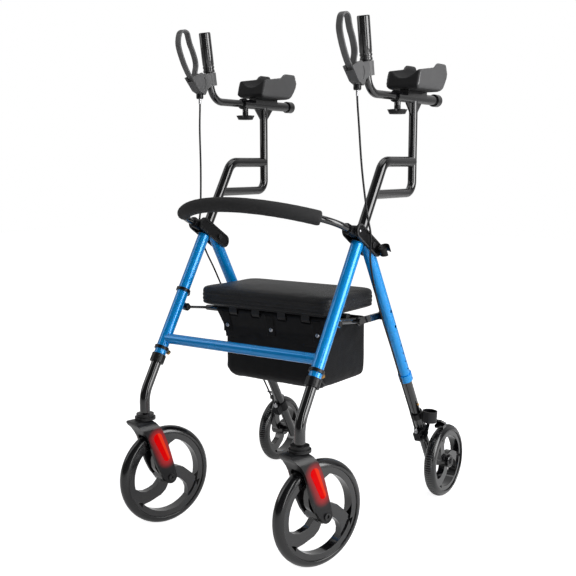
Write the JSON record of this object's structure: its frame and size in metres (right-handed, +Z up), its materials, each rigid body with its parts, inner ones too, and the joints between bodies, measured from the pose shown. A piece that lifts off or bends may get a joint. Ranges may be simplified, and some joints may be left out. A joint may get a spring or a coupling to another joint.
{
  "type": "upright walker",
  "caption": "Folding upright walker with large front casters, rear wheels with brakes, padded seat, bag, curved backrest and raised forearm rests with hand brakes.",
  "frame": {"origin": "on the floor, under the middle of the standing walker", "axes": "+X to the right as seen from its front, -Y the way it travels, +Z up"},
  "size_m": [0.6092, 0.8117, 1.2477],
  "materials": {
    "blue_paint": "gloss metallic-look paint",
    "black_paint": "gloss powder coat",
    "black_plastic": "satin moulded",
    "grey_plastic": "fine moulded grain",
    "tyre": "satin",
    "foam": "fine skin foam",
    "grip_rubber": "gloss ribbed",
    "vinyl": "fine leather grain",
    "nylon": "woven",
    "steel": "zinc plated",
    "brass": "plain",
    "red_lens": "clear red"
  },
  "bodies": {
    "frame": {"front_leg_left": "blue_paint", "front_leg_right": "blue_paint", "crossbar": "blue_paint", "front_collars": "black_plastic", "leg_clips": "black_plastic", "bracket_left": "grey_plastic", "bracket_right": "grey_plastic", "pivot_bolts": "steel", "cane_clip": "black_plastic", "backrest_tube": "black_paint", "backrest_pad": "foam", "cable_left": "grip_rubber", "cable_right": "grip_rubber"},
    "seat_link": {"link_front": "black_paint", "bag": "nylon"},
    "seat": {"seat_base": "black_plastic", "seat_cushion": "vinyl"},
    "rear_link_left": {"link_rear_left": "black_paint"},
    "pin_left": {"front_pin_left": "brass"},
    "front_lower_left": {"front_lower_left": "black_paint"},
    "caster_left": {"fork_left": "black_plastic", "fork_lens_left": "red_lens", "front_axle_left": "steel"},
    "front_wheel_left": {"front_rim_left": "black_plastic", "front_tyre_left": "tyre"},
    "rear_leg_left": {"rear_leg_left": "blue_paint"},
    "rear_lower_left": {"rear_lower_left": "black_paint", "brake_mount_left": "grey_plastic"},
    "rear_wheel_left": {"rear_rim_left": "black_plastic", "rear_tyre_left": "tyre"},
    "brake_left": {"brake_arm_left": "black_paint"},
    "post_left": {"post_left": "black_paint", "armrest_left": "foam"},
    "knob_left": {"knob_left": "black_plastic"},
    "handle_left": {"handle_left": "black_paint", "grip_left": "grip_rubber", "brake_housing_left": "grey_plastic"},
    "lever_left": {"lever_left": "black_plastic"},
    "rear_link_right": {"link_rear_right": "black_paint"},
    "pin_right": {"front_pin_right": "brass"},
    "front_lower_right": {"front_lower_right": "black_paint"},
    "caster_right": {"fork_right": "black_plastic", "fork_lens_right": "red_lens", "front_axle_right": "steel"},
    "front_wheel_right": {"front_rim_right": "black_plastic", "front_tyre_right": "tyre"},
    "rear_leg_right": {"rear_leg_right": "blue_paint"},
    "rear_lower_right": {"rear_lower_right": "black_paint", "brake_mount_right": "grey_plastic", "cane_cup": "black_plastic"},
    "rear_wheel_right": {"rear_rim_right": "black_plastic", "rear_tyre_right": "tyre"},
    "brake_right": {"brake_arm_right": "black_paint"},
    "post_right": {"post_right": "black_paint", "armrest_right": "foam"},
    "knob_right": {"knob_right": "black_plastic"},
    "handle_right": {"handle_right": "black_paint", "grip_right": "grip_rubber", "brake_housing_right": "grey_plastic"},
    "lever_right": {"lever_right": "black_plastic"}
  },
  "joints": [
    {"name": "fold_left", "type": "hinge", "parent": "frame", "child": "rear_leg_left", "pos_m": [-0.236, -0.051, 0.72181], "axis": [-1, 0, 0], "range_deg": [0, 28], "deforming": ["cable_left"]},
    {"name": "fold_right", "type": "hinge", "parent": "frame", "child": "rear_leg_right", "pos_m": [0.236, -0.051, 0.72181], "axis": [-1, 0, 0], "range_deg": [0, 28], "deforming": ["cable_right"]},
    {"name": "seat_link_fold", "type": "hinge", "parent": "frame", "child": "seat_link", "pos_m": [0, -0.1735, 0.5471], "axis": [1, 0, 0], "range_deg": [0, 36.71]},
    {"name": "rear_link_fold_left", "type": "hinge", "parent": "rear_leg_left", "child": "rear_link_left", "pos_m": [-0.216, 0.057, 0.53475], "axis": [-1, 0, 0], "range_deg": [0, 49.89]},
    {"name": "rear_link_fold_right", "type": "hinge", "parent": "rear_leg_right", "child": "rear_link_right", "pos_m": [0.216, 0.057, 0.53475], "axis": [-1, 0, 0], "range_deg": [0, 49.89]},
    {"name": "seat_flip", "type": "hinge", "parent": "seat_link", "child": "seat", "pos_m": [0, -0.118, 0.541], "axis": [1, 0, 0], "range_deg": [0, 70]},
    {"name": "front_height_left", "type": "slide", "parent": "frame", "child": "front_lower_left", "axis": [0, 0.5299, 0.848], "range_m": [-0.04, 0.045]},
    {"name": "pin_pull_left", "type": "slide", "parent": "frame", "child": "pin_left", "axis": [0, 0.848, -0.5299], "range_m": [0, 0.006], "stiffness_N_per_m": 600, "springref_m": -0.004},
    {"name": "caster_swivel_left", "type": "hinge", "parent": "front_lower_left", "child": "caster_left", "pos_m": [-0.236, -0.331, 0.3], "axis": [0, 0, 1], "continuous": true},
    {"name": "front_wheel_spin_left", "type": "hinge", "parent": "caster_left", "child": "front_wheel_left", "pos_m": [-0.22167, -0.28101, 0.127], "axis": [0.9613, -0.2756, 0], "continuous": true},
    {"name": "rear_height_left", "type": "slide", "parent": "rear_leg_left", "child": "rear_lower_left", "axis": [0, -0.5, 0.866], "range_m": [-0.05, 0.06], "deforming": ["cable_left"]},
    {"name": "rear_wheel_spin_left", "type": "hinge", "parent": "rear_lower_left", "child": "rear_wheel_left", "pos_m": [-0.28, 0.308, 0.1], "axis": [1, 0, 0], "continuous": true},
    {"name": "post_height_left", "type": "slide", "parent": "frame", "child": "post_left", "axis": [0, 0.5299, 0.848], "range_m": [-0.06, 0.025], "deforming": ["cable_left"]},
    {"name": "knob_turn_left", "type": "hinge", "parent": "post_left", "child": "knob_left", "pos_m": [-0.236, 0.091, 1.036], "axis": [0, 0, 1], "range_deg": [-180, 180]},
    {"name": "handle_reach_left", "type": "slide", "parent": "post_left", "child": "handle_left", "axis": [0, 1, 0], "range_m": [-0.06, 0.06], "deforming": ["cable_left"]},
    {"name": "lever_squeeze_left", "type": "hinge", "parent": "handle_left", "child": "lever_left", "pos_m": [-0.236, -0.12, 1.122], "axis": [-1, 0, 0], "range_deg": [0, 16], "stiffness_Nm_per_rad": 1.5, "springref_deg": -5.73},
    {"name": "brake_press_left", "type": "hinge", "parent": "rear_lower_left", "child": "brake_left", "pos_m": [-0.236, 0.23722, 0.1746], "axis": [-1, 0, 0], "range_deg": [0, 3]},
    {"name": "front_height_right", "type": "slide", "parent": "frame", "child": "front_lower_right", "axis": [0, 0.5299, 0.848], "range_m": [-0.04, 0.045]},
    {"name": "pin_pull_right", "type": "slide", "parent": "frame", "child": "pin_right", "axis": [0, 0.848, -0.5299], "range_m": [0, 0.006], "stiffness_N_per_m": 600, "springref_m": -0.004},
    {"name": "caster_swivel_right", "type": "hinge", "parent": "front_lower_right", "child": "caster_right", "pos_m": [0.236, -0.331, 0.3], "axis": [0, 0, 1], "continuous": true},
    {"name": "front_wheel_spin_right", "type": "hinge", "parent": "caster_right", "child": "front_wheel_right", "pos_m": [0.25033, -0.28101, 0.127], "axis": [0.9613, -0.2756, 0], "continuous": true},
    {"name": "rear_height_right", "type": "slide", "parent": "rear_leg_right", "child": "rear_lower_right", "axis": [0, -0.5, 0.866], "range_m": [-0.05, 0.06], "deforming": ["cable_right"]},
    {"name": "rear_wheel_spin_right", "type": "hinge", "parent": "rear_lower_right", "child": "rear_wheel_right", "pos_m": [0.28, 0.308, 0.1], "axis": [1, 0, 0], "continuous": true},
    {"name": "post_height_right", "type": "slide", "parent": "frame", "child": "post_right", "axis": [0, 0.5299, 0.848], "range_m": [-0.06, 0.025], "deforming": ["cable_right"]},
    {"name": "knob_turn_right", "type": "hinge", "parent": "post_right", "child": "knob_right", "pos_m": [0.236, 0.091, 1.036], "axis": [0, 0, 1], "range_deg": [-180, 180]},
    {"name": "handle_reach_right", "type": "slide", "parent": "post_right", "child": "handle_right", "axis": [0, 1, 0], "range_m": [-0.06, 0.06], "deforming": ["cable_right"]},
    {"name": "lever_squeeze_right", "type": "hinge", "parent": "handle_right", "child": "lever_right", "pos_m": [0.236, -0.12, 1.122], "axis": [-1, 0, 0], "range_deg": [0, 16], "stiffness_Nm_per_rad": 1.5, "springref_deg": -5.73},
    {"name": "brake_press_right", "type": "hinge", "parent": "rear_lower_right", "child": "brake_right", "pos_m": [0.236, 0.23722, 0.1746], "axis": [-1, 0, 0], "range_deg": [0, 3]}
  ],
  "couplings": [
    {"joint": "fold_right", "follows": "fold_left", "ratio": 1},
    {"joint": "seat_link_fold", "follows": "fold_left", "ratio": 1.3106},
    {"joint": "rear_link_fold_left", "follows": "fold_left", "ratio": 1.7815},
    {"joint": "rear_link_fold_right", "follows": "fold_left", "ratio": 1.7815},
    {"joint": "brake_press_left", "follows": "lever_squeeze_left", "ratio": 0.1875},
    {"joint": "brake_press_right", "follows": "lever_squeeze_right", "ratio": 0.1875}
  ]
}
